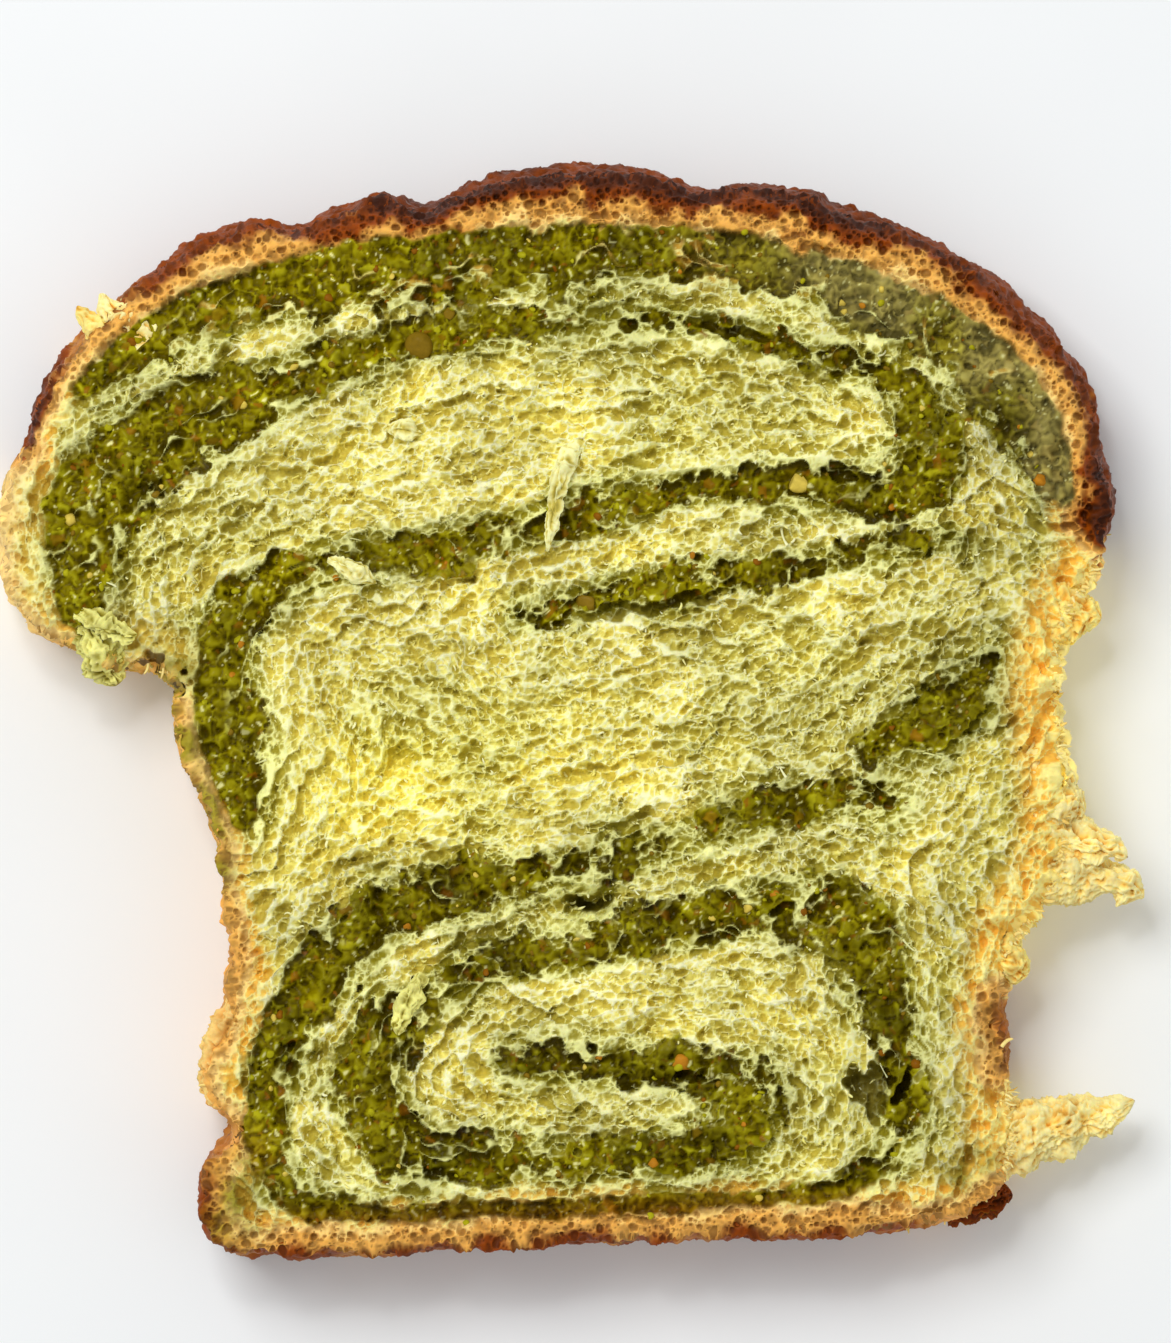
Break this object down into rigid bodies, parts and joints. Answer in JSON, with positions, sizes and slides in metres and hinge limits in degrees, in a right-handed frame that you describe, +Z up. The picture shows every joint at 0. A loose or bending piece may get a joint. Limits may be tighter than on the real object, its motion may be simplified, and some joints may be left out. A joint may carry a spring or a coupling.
{
  "type": "pistachio sweet bread slice",
  "caption": "Torn slice of a tin loaf of sweet bread lying flat, with a swirl of green pistachio filling through the crumb, a domed browned crown crust and torn tufts on one side.",
  "frame": {"origin": "middle of the bounding box, on the flat cut face that the slice lies on", "axes": "+X towards the torn side, across the slice; +Y from the tin base to the domed crown; +Z up, out of the cut face that shows"},
  "size_m": [0.1328, 0.1258, 0.0189],
  "materials": {
    "crumb": "open, springy yellow-green crumb; golden where torn, browned porous crust round the edge",
    "pistachio_paste": "moist, grainy dark green ground pistachio filling with brown bits"
  },
  "bodies": {
    "root": {"dough": "crumb", "filling_crown": "pistachio_paste", "filling_tongue": "pistachio_paste", "filling_seam": "pistachio_paste", "filling_patch": "pistachio_paste", "filling_roll": "pistachio_paste"}
  },
  "joints": []
}
